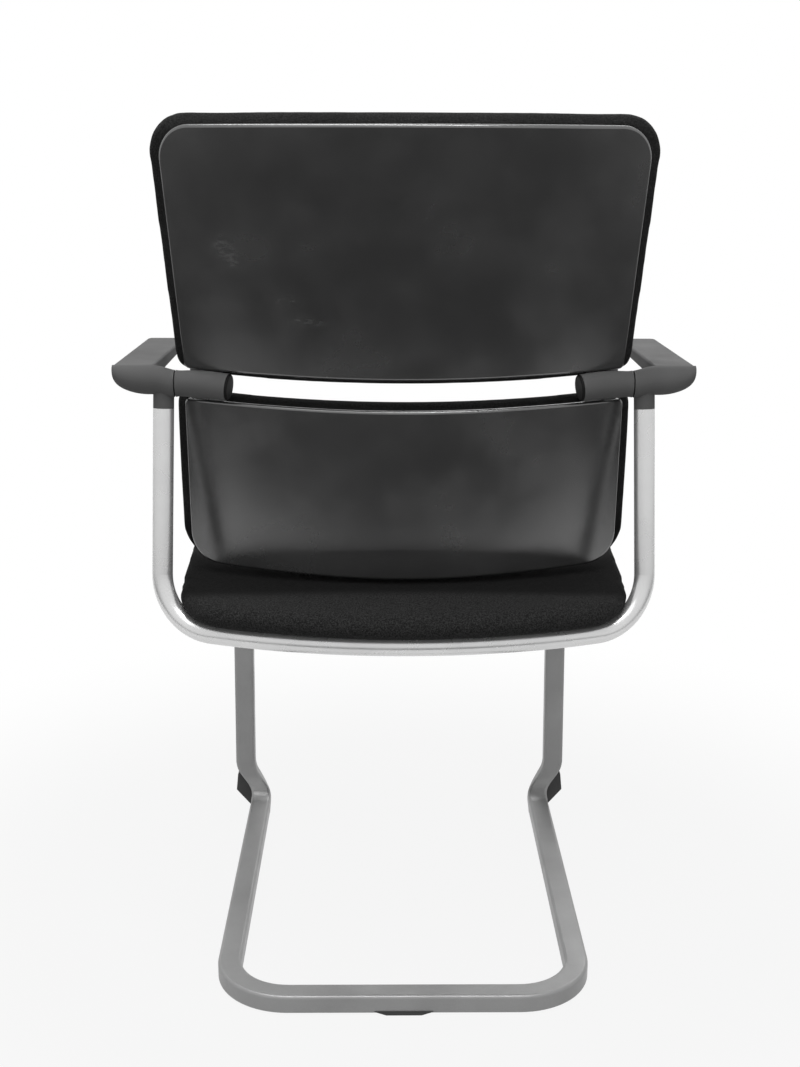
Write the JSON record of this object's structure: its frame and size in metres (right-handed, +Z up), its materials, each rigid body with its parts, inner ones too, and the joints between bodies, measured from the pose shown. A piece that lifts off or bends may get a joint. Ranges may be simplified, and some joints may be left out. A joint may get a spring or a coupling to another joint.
{
  "type": "cantilever visitor chair",
  "caption": "Cantilever visitor chair: bent flat-tube base, bowed round-tube arm frame, moulded armrests, padded seat and a slotted, curved back that tilts on pins between the armrests.",
  "frame": {"origin": "on the floor, in the plane of symmetry, half way between the foremost and rearmost points", "axes": "+Z up; the sitter faces -Y; +X is the sitter's left"},
  "size_m": [0.5854, 0.5364, 0.8874],
  "materials": {
    "base_paint": "satin silver-grey powder coat",
    "tube_steel": "smooth satin silver lacquer",
    "arm_plastic": "fine-grained grey moulding",
    "shell_plastic": "satin black moulding, light scuffs",
    "cushion_fabric": "black woven wool, slightly fuzzy",
    "glide_plastic": "plain black",
    "cap_plastic": "satin dark grey",
    "board_plastic": "plain dark moulding",
    "bare_steel": "zinc-plated",
    "bush_nylon": "plain black nylon",
    "sleeve_rubber": "plain"
  },
  "bodies": {
    "frame": {"base_frame": "base_paint", "arm_frame": "tube_steel", "front_cross_bar": "base_paint", "seat_pan": "board_plastic", "seat_cushion": "cushion_fabric", "seat_screws": "bare_steel", "armrest_left": "arm_plastic", "armrest_right": "arm_plastic", "arm_screws": "bare_steel", "pivot_bush_left": "bush_nylon", "pivot_bush_right": "bush_nylon", "torsion_sleeve_left": "sleeve_rubber", "torsion_sleeve_right": "sleeve_rubber", "front_glide_left": "glide_plastic", "front_glide_right": "glide_plastic", "rear_glide": "glide_plastic"},
    "backrest": {"pivot_housing_left": "arm_plastic", "pivot_housing_right": "arm_plastic", "upper_back_shell": "shell_plastic", "lower_back_shell": "shell_plastic", "upper_back_pad": "cushion_fabric", "lower_back_pad": "cushion_fabric", "pivot_cap_left": "cap_plastic", "pivot_cap_right": "cap_plastic", "upper_back_board": "board_plastic", "lower_back_board": "board_plastic", "pivot_pin_left": "bare_steel", "pivot_pin_right": "bare_steel", "back_bracket_left": "bare_steel", "back_bracket_right": "bare_steel", "housing_screws": "bare_steel"}
  },
  "joints": [
    {"name": "backrest_tilt", "type": "hinge", "parent": "frame", "child": "backrest", "pos_m": [0, 0.128, 0.628], "axis": [-1, 0, 0], "range_deg": [0, 12], "stiffness_Nm_per_rad": 100, "springref_deg": -2.86}
  ]
}
